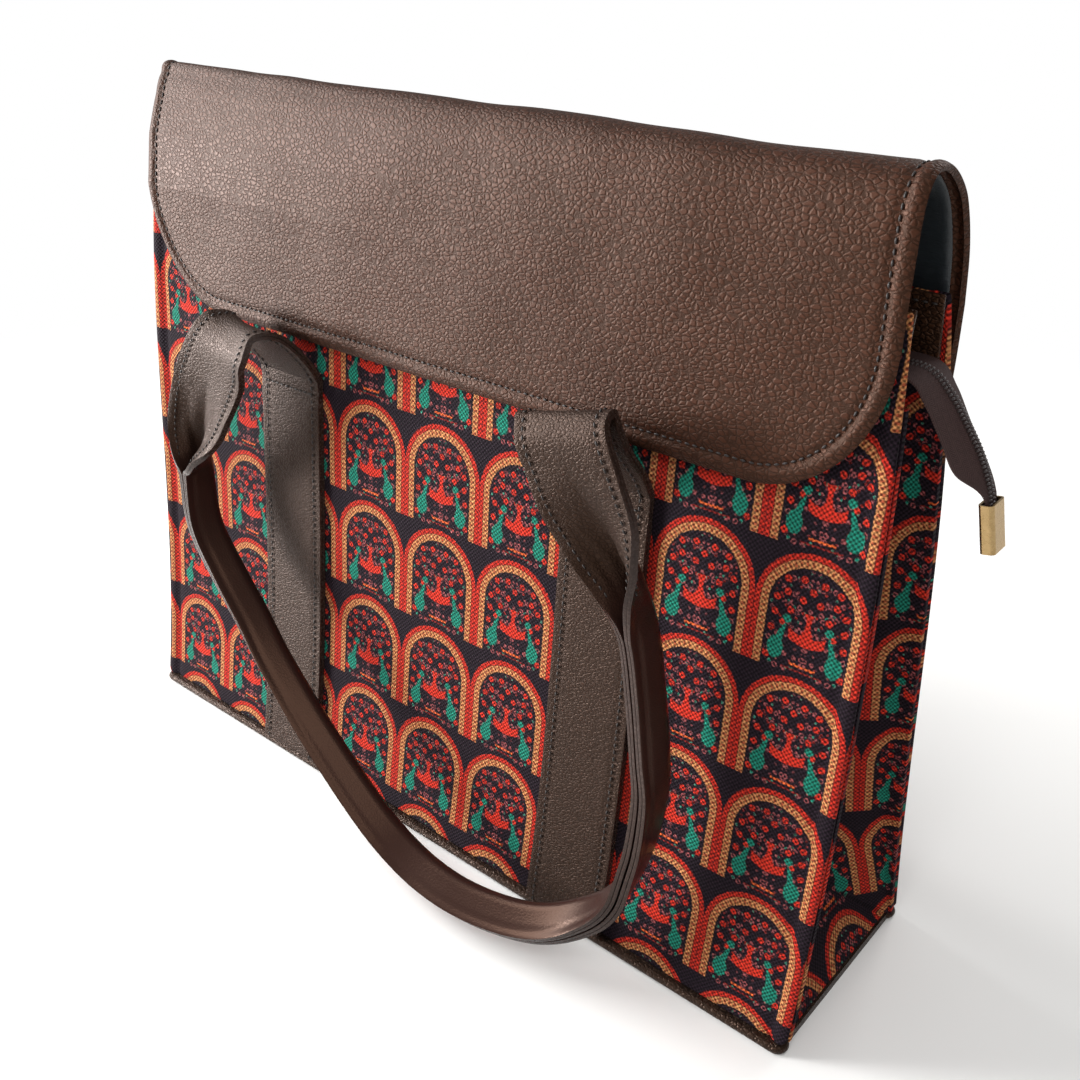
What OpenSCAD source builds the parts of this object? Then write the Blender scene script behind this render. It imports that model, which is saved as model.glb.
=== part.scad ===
// Lidded tote bag: two printed cloth panels on a leather base, sides folded inwards,
// a leather flap over a recessed zip, and two handles whose straps fold into a grip.
// The origin is the centre of the base on the ground, and the front faces -Y.

/* [Body] */
// Width of the front and back panels at the mouth
body_w = 400; // [370:5:430]
// How much further out the panels reach on each side lower down
flare = 7; // [0:0.5:10]
// Height of the panels' top edge above the ground
body_h = 295; // [285:1:305]
// Depth of the bag at the base
base_d = 100; // [90:2:116]
// Depth that the panels' curve heads for low down
low_d = 58; // [54:1:64]
// Depth that the panels' curve heads for high up
high_d = 56; // [52:1:60]
// Depth of the bag at the mouth
mouth_d = 28; // [26:1:32]
// Thickness of the printed cloth with its backing
cloth_t = 2.4; // [1.8:0.1:3]
// Radius of the panels' bottom corners
panel_corner = 4; // [3:0.5:10]

/* [Base] */
// Thickness of the base
base_t = 4; // [3:0.5:6]
// How far the base stands out past the foot of the panels
base_lip = 2.5; // [0:0.5:4]
// Radius of the base's corners in plan
base_corner = 5; // [4:0.5:12]

/* [Side folds] */
// Width of the seam that joins a side to a panel
seam_w = 8; // [6:0.5:10]
// Width of that seam where it runs out at the base
foot_seam_w = 2; // [1.8:0.1:4]
// Height of the triangle at the foot of a side
fold_h = 50; // [40:2:60]
// Depth of the top edge of a side below the panels' top edge
side_drop = 31; // [28:1:36]
// Width of the crease down the middle of a side
crease_w = 3; // [2.5:0.5:5]

/* [Facings] */
// Thickness of the leather strips inside the mouth
facing_t = 1.6; // [1.2:0.1:2]
// Gap between the facings and the sides' top edge
facing_gap = 2; // [1:0.5:3]

/* [Flap] */
// Width of the flap
flap_w = 392; // [380:2:410]
// Distance of the flap's middle to the right of the bag's middle
flap_shift = 6; // [0:1:8]
// Height of the flap's crown above the panels' top edge
crown_h = 43; // [40:1:48]
// Depth of the flap's front edge below the panels' top edge
flap_drop = 66; // [58:1:70]
// Width of the flap's rounded corners
flap_corner_w = 50; // [40:1:60]
// Height of the flap's rounded corners
flap_corner_h = 56; // [45:1:60]
// Depth of the back seam below the panels' top edge
back_seam_drop = 45; // [40:1:50]
// Depth of the line that the flap folds back on below the panels' top edge
hinge_drop = 5; // [3:0.5:8]
// Thickness of the flap's leather
leather_t = 2.2; // [1.6:0.1:2.6]
// Thickness of the satin under the flap
lining_t = 0.8; // [0.5:0.1:1.2]
// Width of the turned hem that the satin stops at
hem_w = 5; // [4:0.5:8]

/* [Handles] */
// Distance between the middles of a handle's two straps
strap_pitch = 188; // [176:2:200]
// Width of a strap
strap_w = 41; // [36:0.5:44]
// Thickness of a strap's two plies
strap_t = 3.4; // [2.6:0.1:3.8]
// Depth of the end of a strap's sewing below the panels' top edge
sewn_drop = 89; // [87:1:97]
// Width of the strap where it is folded into the grip
grip_w = 33; // [28:0.5:36]
// Gap between the two folded halves of the grip
grip_gap = 0.8; // [0.5:0.1:1.5]

/* [Zip] */
// Depth of the zip below the panels' top edge
zip_drop = 23; // [21:0.5:25]
// Thickness of the zip's tape
tape_t = 0.9; // [0.6:0.1:1.2]
// Width of the open slit between the coils
slit_w = 5; // [4.6:0.1:6]
// Width of one coil
coil_w = 2.2; // [1.8:0.1:2.6]
// Height of one coil
coil_h = 2; // [1.6:0.1:2.4]
// Width of each tape in the tail
tail_w = 12; // [10:0.5:12.5]
// Length of the slider
slider_l = 16; // [14:0.5:18]
// Thickness of the slider's two plates
plate_t = 1.4; // [1:0.1:1.8]
// Distance of the slider's rest from the right edge of the panels
slider_inset = 35; // [32:1:42]
// Length of the pull
pull_l = 28; // [24:1:30]
// Width of the pull
pull_w = 7; // [6.6:0.2:8]
// Thickness of the pull
pull_t = 1.6; // [1.2:0.1:2]
// Width inside the brass clip on the tail's end
clip_w = 9; // [8:0.5:10]
// Length of the brass clip
clip_l = 17; // [14:0.5:20]
// Radius of the brass clip's edges
clip_round = 1.6; // [1:0.1:2]
// Thickness of the brass clip's wall
clip_wall = 0.8; // [0.5:0.1:1.2]

/* [Fits] */
// Gap between layers that are sewn together
seam_gap = 0.2; // [0.15:0.05:0.3]
// Running gap between the slider, its pull and what they ride on
run_gap = 0.3; // [0.2:0.05:0.4]

/* [Hidden] */
$fn = 48;

cloth_colour = "#9c3a30";
leather_colour = "#4a3a33";
satin_colour = "#2c3236";
strap_colour = "#4a4743";
tape_colour = "#5d4a48";
coil_colour = "#3a2d2c";
brass_colour = "#b59b6a";

panel_z = base_t + seam_gap;
side_top = body_h - side_drop;
facing_z = side_top + facing_gap;
seam_z = body_h - back_seam_drop;
hinge_z = body_h - hinge_drop;
flap_z = body_h - flap_drop;
crown_z = body_h + crown_h;
zip_z = body_h - zip_drop;
sewn_h = body_h - sewn_drop;

// Vector helpers
function unit(v) = v / norm(v);
function mix(a, b, t) = a + (b - a) * t;
function flat(rows) = [for (row = rows) each row];
function bezier(a, b, c, d, t) =
    a * pow(1 - t, 3) + 3 * b * t * pow(1 - t, 2) + 3 * c * t * t * (1 - t) + d * pow(t, 3);
function smooth(a, b, c, d, t) =
    0.5 * (2 * b + (c - a) * t + (2 * a - 5 * b + 4 * c - d) * t * t + (3 * b - a - 3 * c + d) * pow(t, 3));

// A smooth curve through a list of points, each a list of numbers
function curve(points, steps) = let (last = len(points) - 1) concat(
    [for (i = [0:last - 1], k = [0:steps - 1])
        smooth(points[max(i - 1, 0)], points[i], points[i + 1], points[min(i + 2, last)], k / steps)],
    [points[last]]);

// The direction of a curve at one of its points
function along(points, i) = unit(points[min(i + 1, len(points) - 1)] - points[max(i - 1, 0)]);

// Half the depth of the bag at a height, on the outside of its panels
function half_depth(z) = bezier(base_d, low_d, high_d, mouth_d, z / body_h) / 2;

// Half the width of the panels at a height
function half_width(z) = body_w / 2 + flare * (1 - pow(z / body_h, 5));
foot_w = 2 * half_width(0);

// A closed sheet between two grids of points, with its rim walled in
module sheet(top, bottom) {
    rows = len(top);
    cols = len(top[0]);
    count = rows * cols;
    cells = [for (i = [0:rows - 2], j = [0:cols - 2]) i * cols + j];
    rim = concat([for (j = [0:cols - 1]) j], [for (i = [1:rows - 1]) i * cols + cols - 1],
        [for (j = [cols - 2:-1:0]) (rows - 1) * cols + j], [for (i = [rows - 2:-1:1]) i * cols]);
    polyhedron(concat(flat(top), flat(bottom)), concat(
        flat([for (c = cells) [[c, c + 1, c + cols + 1], [c, c + cols + 1, c + cols]]]),
        flat([for (c = cells) [[c + count, c + count + cols + 1, c + count + 1],
            [c + count, c + count + cols, c + count + cols + 1]]]),
        flat([for (k = [0:len(rim) - 1]) let (a = rim[k], b = rim[(k + 1) % len(rim)])
            [[a, b + count, b], [a, a + count, b + count]]])));
}

// A closed bar through a list of rings with equal numbers of points
module loft(rings) {
    sides = len(rings[0]);
    last = (len(rings) - 1) * sides;
    polyhedron(flat(rings), concat(
        flat([for (i = [0:len(rings) - 2], j = [0:sides - 1])
            let (a = i * sides + j, b = i * sides + (j + 1) % sides)
            [[a, a + sides, b + sides], [a, b + sides, b]]]),
        [[for (j = [0:sides - 1]) j]], [[for (j = [sides - 1:-1:0]) last + j]]));
}

// Printed panels, from the base to the mouth, with rounded bottom corners
panel_rows = 14;
corner_steps = 5;

function panel_point(side, step, row, inset) = let (
    turn = 90 * step / corner_steps,
    foot = panel_z + panel_corner * (1 - cos(turn)),
    z = mix(foot, body_h, row / panel_rows))
    [side * (half_width(z) - panel_corner * (1 - sin(turn))), inset - half_depth(z), z];

function panel_row(row, inset) = concat(
    [for (step = [corner_steps:-1:0]) panel_point(-1, step, row, inset)],
    [for (step = [0:corner_steps]) panel_point(1, step, row, inset)]);

module panel() {
    sheet([for (row = [0:panel_rows]) panel_row(row, cloth_t)],
        [for (row = [0:panel_rows]) panel_row(row, 0)]);
}

module front_panel() { color(cloth_colour) panel(); }
module back_panel() { color(cloth_colour) rotate(180) panel(); }

// Sides: a strip as wide as the base is deep, folded in two on the way up like a paper bag's
foot_rows = 4;
side_rows = 8;

function side_y(z) = half_depth(z) - cloth_t * 1.5 - seam_gap;
function fold_depth(z) = sqrt(pow(side_y(panel_z), 2) - pow(side_y(z), 2));

// The middle of the cloth across the strip at a height, from the front seam to the back one
function side_line(z) = let (
    rise = min((z - panel_z) / (fold_h - panel_z), 1),
    y = side_y(z),
    edge_x = half_width(z),
    seam_x = edge_x - mix(foot_seam_w, seam_w, rise),
    facet_y = mix(y - crease_w / 2, crease_w / 2, rise),
    facet_x = seam_x - crease_w / 2 - (rise < 1 ? fold_depth(fold_h) * rise : fold_depth(z)))
    [[edge_x, -y], [seam_x, -y], [facet_x, -facet_y], [facet_x, facet_y], [seam_x, y], [edge_x, y]];

// A line of points moved sideways by a distance, mitred at its corners
function sideways(line, by) = let (
    normals = [for (i = [0:len(line) - 2]) let (d = unit(line[i + 1] - line[i])) [-d.y, d.x]])
    [for (i = [0:len(line) - 1]) let (
        m = normals[max(i - 1, 0)],
        n = normals[min(i, len(normals) - 1)])
        line[i] + by * (m + n) / (1 + m * n)];

function side_row(z, by) = [for (p = sideways(side_line(z), by)) [p.x, p.y, z]];

module folded_side() {
    heights = concat([for (i = [0:foot_rows - 1]) mix(panel_z, fold_h, i / foot_rows)],
        [for (i = [0:side_rows]) mix(fold_h, side_top, i / side_rows)]);
    sheet([for (z = heights) side_row(z, cloth_t / 2)], [for (z = heights) side_row(z, -cloth_t / 2)]);
}

module right_side() { color(cloth_colour) folded_side(); }
module left_side() { color(cloth_colour) rotate(180) folded_side(); }

// Base: a leather-covered board with a half-round rim
module base() {
    rim_r = base_t / 2;
    turn_r = base_corner - rim_r;
    run_x = foot_w - 2 * base_corner;
    depth = base_d + 2 * base_lip;
    run_y = depth - 2 * base_corner;
    color(leather_colour) {
        linear_extrude(base_t) {
            square([foot_w - base_t, run_y], center = true);
            square([run_x, depth - base_t], center = true);
            for (x = [-1, 1], y = [-1, 1]) translate([x * run_x / 2, y * run_y / 2]) circle(turn_r);
        }
        for (side = [-1, 1]) {
            translate([-run_x / 2, side * (depth / 2 - rim_r), rim_r])
                rotate([0, 90, 0]) cylinder(run_x, rim_r, rim_r);
            translate([side * (foot_w / 2 - rim_r), run_y / 2, rim_r])
                rotate([90, 0, 0]) cylinder(run_y, rim_r, rim_r);
        }
        for (x = [-1, 1], y = [-1, 1])
            translate([x * run_x / 2, y * run_y / 2, rim_r])
                rotate_extrude() translate([turn_r, 0]) circle(rim_r);
    }
}

// Facings: leather strips inside the mouth, which the zip's tapes are sewn to
facing_rows = 4;

function facing_y(z) = half_depth(z) - cloth_t - seam_gap;
function facing_row(z, inset) = [for (x = [-1, 1]) [x * (body_w / 2 - seam_gap), inset - facing_y(z), z]];

module facing() {
    heights = [for (i = [0:facing_rows]) mix(facing_z, body_h, i / facing_rows)];
    sheet([for (z = heights) facing_row(z, facing_t)], [for (z = heights) facing_row(z, 0)]);
}

module front_facing() { color(leather_colour) facing(); }
module back_facing() { color(leather_colour) rotate(180) facing(); }

// Flap: one leather sheet, sewn to the back panel, over the mouth and down the front.
// Its outside in section, [y, z], from the back seam past the hinge line to the front edge.
mouth_y = mouth_d / 2;
front_lap = 3 * seam_gap + leather_t + lining_t;
hinge = [mouth_y + 8.5, hinge_z];
back_line = [[half_depth(seam_z) + seam_gap + leather_t, seam_z],
    [mouth_y + 9, mix(seam_z, hinge_z, 0.5)], hinge];
over_line = [hinge, [mouth_y + 4, mix(hinge_z, crown_z, 0.4)], [mouth_y - 5, mix(hinge_z, crown_z, 0.75)],
    [mouth_y - 17, crown_z - 2], [-mouth_y + 2, crown_z], [-mouth_y - 4.5, crown_z - 4],
    [-mouth_y - 7.5, crown_z - 13], [-mouth_y - 8.5, mix(crown_z, body_h, 0.7)],
    [-half_depth(body_h - 10) - front_lap - 4, body_h - 10],
    [-half_depth(mix(flap_z, body_h, 0.4)) - front_lap - 2.5, mix(flap_z, body_h, 0.4)],
    [-half_depth(flap_z) - front_lap - 1.5, flap_z]];
line_steps = 4;
crown_stretches = 7;
front_rows = 5;
flap_steps = 5;
hinge_gap = 3 * seam_gap;

// Lengths along a line of points, paired with one of their coordinates for lookup
function run_to(line, i) = i == 0 ? 0 : run_to(line, i - 1) + norm(line[i] - line[i - 1]);
function table(line, axis) = [for (i = [0:len(line) - 1]) [run_to(line, i), line[i][axis]]];

flap_line = curve(over_line, line_steps);
flap_y = table(flap_line, 0);
flap_up = table(flap_line, 1);
flap_run = run_to(flap_line, len(flap_line) - 1);
function flap_at(s) = [lookup(s, flap_y), lookup(s, flap_up)];

// How far the flap leans back at its left end, at each station, and less so to the right
left_lean = [0, 0, 0, 1, 4, 8.5, 7, 1.5, -2.5, -1, 0];
lean_table = [for (i = [0:len(left_lean) - 1]) [flap_y[i * line_steps][0], left_lean[i]]];
function lean(x, s) = lookup(s, lean_table) * pow((flap_shift + flap_w / 2 - x) / flap_w, 2);

// A point of the flap at a run from the hinge line, at a depth under its outside
function flap_point(x, s, depth) = let (
    d = unit(flap_at(min(s + 1, flap_run)) - flap_at(max(s - 1, 0))),
    p = flap_at(s) + depth * [-d.y, d.x])
    [x, p.x + lean(x, s), p.y];

// Columns across the flap, [x, how much of its run is cut away by the rounded corner]
function flap_cols(inset) = [for (side = [-1, 1], k = [0:flap_steps]) let (
    turn = 90 * (side < 0 ? flap_steps - k : k) / flap_steps)
    [flap_shift + side * (flap_w / 2 - inset - flap_corner_w * (1 - sin(turn))),
        flap_corner_h * (1 - cos(turn))]];

// Rows across the flap: straight ones over the crown, then ones that close in on the rounded corners
crown_runs = [for (i = [2:2:crown_stretches * line_steps]) flap_y[i][0]];
crown_end = crown_runs[len(crown_runs) - 1];
function flap_grid(start, inset, depth) = concat(
    [for (s = concat([start], crown_runs)) [for (col = flap_cols(inset)) flap_point(col[0], s, depth)]],
    [for (row = [1:front_rows]) [for (col = flap_cols(inset))
        flap_point(col[0], mix(crown_end, flap_run - inset - col[1], row / front_rows), depth)]]);

module flap() {
    color(leather_colour) sheet(flap_grid(hinge_gap, 0, 0), flap_grid(hinge_gap, 0, leather_t));
}

module flap_lining() {
    top = leather_t + 2 * seam_gap;
    color(satin_colour) sheet(flap_grid(hem_w, hem_w, top), flap_grid(hem_w, hem_w, top + lining_t));
}

module flap_back() {
    line = curve(back_line, 4);
    rows = [for (i = [0:len(line) - 1]) let (d = along(line, i))
        [line[i], line[i] + leather_t * [-d.y, d.x]]];
    ends = [flap_shift - flap_w / 2, flap_shift + flap_w / 2];
    color(leather_colour) sheet([for (row = rows) [for (x = ends) [x, row[0].x, row[0].y]]],
        [for (row = rows) [for (x = ends) [x, row[1].x, row[1].y]]]);
}

// Handles: one strap, sewn up the panel, looped forward and folded lengthwise into the grip.
// Each station is [strap it is measured from (-1 left, 0 middle, 1 right), distance to the right of it,
// distance off the panel, height], [the way the fold opens], fold angle, share of the grip's width.
// Heights of the loops count from the end of the sewing, and those of the grip from the ground.
sewn_rows = 5;
left_loop = [
    [[-1, 0, 2.6, 5], [0, 1, 0.1], 0, 0],
    [[-1, 0, 8, 13], [0, 0.9, 0.4], 0, 0],
    [[-1, -2, 18, 25], [0, 0.7, 0.7], 0, 0],
    [[-1, -5, 26, 30], [0, 0, 1], 0, 0],
    [[-1, -9, 32, 25], [0, -0.8, 0.6], 0, 0],
    [[-1, -15, 33, 15], [0, -1, 0.1], 0, 0],
    [[-1, -26, 30, -3], [0, -1, 0], 10, 0],
    [[-1, -36, 25, -22], [0, -1, 0], 30, 0.2],
    [[-1, -43, 21, -38], [-0.1, -1, 0], 62, 0.6],
    [[-1, -46, 18, -52], [-0.1, -1, -0.1], 90, 1]];
grip = [
    [[-1, -38, 20, 130], [-0.1, -0.9, -0.2]],
    [[-1, -20, 21, 111], [-0.1, -0.9, -0.3]],
    [[-1, 2, 23, 94], [0, -0.9, -0.4]],
    [[-1, 23, 25, 77], [0, -0.9, -0.5]],
    [[0, -30, 27, 49], [0, -0.8, -0.6]],
    [[0, 15, 28, 25], [0, -0.8, -0.6]],
    [[0, 54, 29, 19], [0, -0.8, -0.6]],
    [[1, -3, 25, 23], [0, -0.8, -0.6]],
    [[1, 21, 18, 34], [0, -0.9, -0.5]],
    [[1, 36, 14, 49], [0, -0.9, -0.4]],
    [[1, 43, 12, 70], [0, -1, -0.3]],
    [[1, 46, 11, 96], [-0.1, -1, -0.1]],
    [[1, 44, 11, 116], [-0.2, -1, -0.1]],
    [[1, 39, 11, 140], [-0.2, -1, 0]]];
right_loop = [
    [[1, 34, 13, -40], [-0.2, -1, 0], 90, 1],
    [[1, 27, 17, -20], [-0.1, -1, 0], 64, 0.6],
    [[1, 19, 24, -3], [0, -1, 0], 30, 0.2],
    [[1, 10, 32, 14], [0, -1, 0.1], 8, 0],
    [[1, 4, 35, 26], [-0.05, -1, 0.2], 0, 0],
    [[1, 0, 34.5, 34], [-0.15, -0.8, 0.6], 0, 0],
    [[1, -2, 30.5, 38.5], [-0.24, 0, 1], 0, 0],
    [[1, -2, 25, 34], [-0.12, 0.8, 0.6], 0, 0],
    [[1, -1, 18, 25], [0, 0.9, 0.3], 0, 0],
    [[1, 0, 8, 13], [0, 0.9, 0.4], 0, 0],
    [[1, 0, 2.6, 5], [0, 1, 0.1], 0, 0]];
strap_steps = 2;

function stand(at, z) = [at[0] * strap_pitch / 2 + at[1], -half_depth(z) - at[2], z];
function sewn_run(side) = [for (i = [0:sewn_rows])
    let (share = i / sewn_rows, z = mix(panel_z + 2 * seam_gap, sewn_h, side < 0 ? share : 1 - share))
    [stand([side, 0, seam_gap + strap_t / 2], z), [0, 1, 0], 0, strap_w / 2]];
function loop_run(stations) = [for (s = stations)
    [stand(s[0], sewn_h + s[0][3]), s[1], s[2], mix(strap_w, grip_w, s[3]) / 2]];
grip_run = [for (s = grip) [stand(s[0], s[0][3]), s[1], 90, grip_w / 2]];
stations = concat(sewn_run(-1), loop_run(left_loop), grip_run, loop_run(right_loop), sewn_run(1));
strap_line = curve([for (s = stations) s[0]], strap_steps);
strap_open = curve([for (s = stations) s[1]], strap_steps);
strap_fold = curve([for (s = stations) [s[2], s[3]]], strap_steps);

// A point of the strap's section, [across, towards the opening], at a distance from the fold line
bend_r = (strap_t + grip_gap) / 2;
bend_steps = 2;
edge_round = 0.8;
function strap_point(reach, fold, off) = let (
    bent = min(reach, bend_r * fold * PI / 180),
    turn = bent / bend_r * 180 / PI,
    rest = reach - bent)
    [bend_r * sin(turn) + rest * cos(turn) - off * sin(turn),
        bend_r * (1 - cos(turn)) + rest * sin(turn) + off * cos(turn)];

function strap_half(fold, half, off) = concat(
    [for (k = [0:bend_steps]) strap_point(bend_r * PI / 2 * k / bend_steps, fold, off)],
    [strap_point(half - edge_round, fold, off), strap_point(half, fold, off / 2)]);

function strap_ring(i) = let (
    fold = min(max(strap_fold[i][0], 0), 90),
    half = strap_fold[i][1],
    way = along(strap_line, i),
    across = unit(cross(strap_open[i], way)),
    opening = cross(way, across),
    back = strap_half(fold, half, -strap_t / 2),
    face = strap_half(fold, half, strap_t / 2),
    last = len(back) - 1,
    section = concat([for (k = [last:-1:1]) [-back[k].x, back[k].y]], back,
        [for (k = [last:-1:0]) face[k]], [for (k = [1:last]) [-face[k].x, face[k].y]]))
    [for (p = section) strap_line[i] + p.x * across + p.y * opening];

module handle() { loft([for (i = [0:len(strap_line) - 1]) strap_ring(i)]); }

module front_handle() { color(strap_colour) handle(); }
module back_handle() { color(strap_colour) rotate(180) handle(); }

// Zip: two tapes with a coil each, apart in the mouth and closed in the tail on the right.
// Stations along it are [x, height, inner edge of the tape, outer edge, droop of the outer edge].
// Those of the tail are [right of the bag's edge, above the zip, angle at which each tape hangs].
tape_y = facing_y(zip_z) - facing_t - seam_gap;
closed_y = seam_gap / 2;
tail_points = [[0, 1, 5], [9, -5, 15], [17, -15, 22], [23.5, -25, 22], [28, -36, 0], [31.5, -53, 0]];
tail_end = [body_w / 2, zip_z, 0] + tail_points[len(tail_points) - 1];
slider_x = body_w / 2 - slider_inset;
mouth_end = [seam_w - body_w / 2, slider_x + slider_l];
mouth_stretches = 4;
tail_steps = 3;
function mouth_station(share) = [mix(mouth_end[0], mouth_end[1], share), zip_z, slit_w / 2, tape_y, 0];
function tail_station(i) = let (
    p = tail_points[i],
    width = i > len(tail_points) - 3 ? clip_w / 2 - seam_gap : tail_w)
    [body_w / 2 + p.x, zip_z + p.y, closed_y, width * cos(p.z), width * sin(p.z)];
zip_line = concat([for (i = [0:mouth_stretches]) mouth_station(i / mouth_stretches)],
    curve(concat([mouth_station(1)], [for (i = [0:len(tail_points) - 1]) tail_station(i)]), tail_steps));
zip_path = [for (i = [0:len(zip_line) - 1]) if (i != mouth_stretches) let (p = zip_line[i])
    [p[0], p[1], max(p[2], closed_y), p[3], max(p[4], 0)]];

function zip_up(i) = let (d = along([for (p = zip_path) [p[0], p[1]]], i)) [-d.y, d.x];
function zip_point(i, y, lift) = let (n = zip_up(i))
    [zip_path[i][0] + lift * n.x, y, zip_path[i][1] + lift * n.y];
function tape_row(i, lift) = [zip_point(i, zip_path[i][2], lift),
    zip_point(i, zip_path[i][3], lift - zip_path[i][4])];

module zip_tape() {
    rows = [0:len(zip_path) - 1];
    sheet([for (i = rows) tape_row(i, tape_t / 2)], [for (i = rows) tape_row(i, -tape_t / 2)]);
}

coil_z = tape_t / 2 + seam_gap / 2;
coil_section = [[0, 0.3], [0.3, 0], [0.7, 0], [1, 0.3], [0.75, 1], [0.25, 1]];
module zip_coil() {
    loft([for (i = [0:len(zip_path) - 1])
        [for (p = coil_section) zip_point(i, zip_path[i][2] + p.x * coil_w, coil_z + p.y * coil_h)]]);
}

module back_zip_tape() { color(tape_colour) zip_tape(); }
module front_zip_tape() { color(tape_colour) mirror([0, 1, 0]) zip_tape(); }
module back_zip_coil() { color(coil_colour) zip_coil(); }
module front_zip_coil() { color(coil_colour) mirror([0, 1, 0]) zip_coil(); }

// Slider: two plates joined by a post in the slit, with a bridge that the pull hangs on
slider_w = slit_w + 2 * (coil_w + run_gap + plate_t);
under_z = zip_z - tape_t / 2 - run_gap - plate_t;
over_z = zip_z + coil_z + coil_h + run_gap;
bar_r = 1;
pivot_z = over_z + plate_t + run_gap + bar_r;
bridge_t = 2.4;
bridge_l = slider_l - 6;
bridge_wall = 2;
bridge_h = 2 * run_gap + 2 * bar_r + bridge_wall;

module plate(length, width, corner) {
    square([length, width - 2 * corner], center = true);
    square([length - 2 * corner, width], center = true);
    for (x = [-1, 1], y = [-1, 1])
        translate([x * (length / 2 - corner), y * (width / 2 - corner)]) circle(corner);
}

module zip_slider() {
    post_r = slit_w / 2 - run_gap;
    lip_z = zip_z + tape_t / 2 + run_gap;
    color(brass_colour) translate([slider_x, 0, 0]) {
        for (z = [under_z, over_z]) translate([0, 0, z])
            linear_extrude(plate_t) plate(slider_l, slider_w, slider_w / 4);
        translate([0, 0, under_z]) cylinder(over_z - under_z + plate_t, post_r, post_r);
        for (side = [-1, 1]) translate([0, side * (slider_w - plate_t) / 2, (lip_z + over_z) / 2])
            cube([slider_l - slider_w / 2, plate_t, over_z - lip_z], center = true);
        translate([0, bridge_t / 2, over_z + plate_t]) rotate([90, 0, 0])
            linear_extrude(bridge_t) difference() {
                translate([-bridge_l / 2, 0]) square([bridge_l, bridge_h]);
                translate([-bridge_l / 2 + bridge_wall, 0])
                    square([bridge_l - 2 * bridge_wall, bridge_h - bridge_wall]);
            }
    }
}

// Pull: a plate with a window that straddles the slider's bridge, turning on its end bar
module zip_pull() {
    window_w = bridge_t + 2 * run_gap;
    window_l = norm([bridge_l / 2, bridge_h - run_gap - bar_r]) + 2 * run_gap;
    color(brass_colour) translate([slider_x, 0, pivot_z]) {
        rotate([90, 0, 0]) cylinder(pull_w, bar_r, bar_r, center = true);
        translate([0, 0, -pull_t / 2]) linear_extrude(pull_t) difference() {
            translate([-pull_l / 2, 0]) plate(pull_l, pull_w, pull_w / 3);
            translate([-window_l, -window_w / 2]) square([window_l - bar_r, window_w]);
            translate([-bar_r / 2, -pull_w]) square([pull_l, 2 * pull_w]);
        }
    }
}

// Clip: a brass cup pressed flat round the end of the tail
module zip_end_clip() {
    inside = tape_t + coil_z + coil_h + seam_gap;
    tilt = atan2(tail_points[5].x - tail_points[4].x, tail_points[4].y - tail_points[5].y);
    color(brass_colour) translate([tail_end.x, 0, tail_end.y]) rotate([0, -tilt, 0])
        translate([inside / 2 - tape_t / 2 - seam_gap, 0, -seam_gap - clip_wall]) difference() {
            linear_extrude(clip_l) plate(inside + 2 * clip_wall, clip_w + 2 * clip_wall, clip_round);
            translate([0, 0, clip_wall]) linear_extrude(clip_l)
                square([inside, clip_w], center = true);
        }
}

front_panel();
back_panel();
left_side();
right_side();
base();
front_facing();
back_facing();
flap();
flap_lining();
flap_back();
front_handle();
back_handle();
front_zip_tape();
back_zip_tape();
front_zip_coil();
back_zip_coil();
zip_slider();
zip_pull();
zip_end_clip();
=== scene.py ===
import bmesh
import bpy
import math
import numpy as np
from mathutils import Matrix, Vector, noise
from mathutils.bvhtree import BVHTree


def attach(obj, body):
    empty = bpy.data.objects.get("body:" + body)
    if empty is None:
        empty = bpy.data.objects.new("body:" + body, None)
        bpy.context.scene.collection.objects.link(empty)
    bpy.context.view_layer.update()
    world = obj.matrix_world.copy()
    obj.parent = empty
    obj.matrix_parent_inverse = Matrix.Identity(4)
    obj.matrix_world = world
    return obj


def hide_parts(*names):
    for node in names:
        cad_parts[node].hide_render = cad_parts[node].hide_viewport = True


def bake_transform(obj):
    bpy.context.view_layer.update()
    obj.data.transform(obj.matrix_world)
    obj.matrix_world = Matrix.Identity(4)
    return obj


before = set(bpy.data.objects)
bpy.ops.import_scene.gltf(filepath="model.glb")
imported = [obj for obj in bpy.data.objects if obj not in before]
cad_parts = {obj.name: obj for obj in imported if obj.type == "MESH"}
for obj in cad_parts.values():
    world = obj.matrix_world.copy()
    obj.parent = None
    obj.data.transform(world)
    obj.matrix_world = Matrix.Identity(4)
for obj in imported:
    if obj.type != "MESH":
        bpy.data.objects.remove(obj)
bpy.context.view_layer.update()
mm = 0.001
print("frame loaded:", len(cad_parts), "nodes")

# Shared sizes in mm, as the solids have them
bag = {
    "width": 400,
    "height": 295,
    "depths": (100, 58, 56, 28),  # base, two control depths of the curve, mouth
    "flare": 7,  # how much further out the panels reach on each side lower down
    "foot": 4.2,
    "cloth": 2.4,
    "gap": 0.2,
}


def mix(a, b, t):
    return a + (b - a) * t


def halfDepth(z):
    t = z / bag["height"]
    a, b, c, d = bag["depths"]
    return (a * (1 - t) ** 3 + 3 * b * t * (1 - t) ** 2 + 3 * c * t * t * (1 - t) + d * t ** 3) / 2


def halfWidth(z):
    return bag["width"] / 2 + bag["flare"] * (1 - (z / bag["height"]) ** 5)


# Height against the length up the panel's slope, for a print that follows the cloth
slopeHeights = np.linspace(0, bag["height"], bag["height"] + 1)  # one each mm
slopeSteps = np.hypot(np.diff(slopeHeights), np.diff([halfDepth(z) for z in slopeHeights]))
slopeRuns = np.concatenate([[0], np.cumsum(slopeSteps)])


def slopeRun(z):
    return float(np.interp(z, slopeHeights, slopeRuns))


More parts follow.
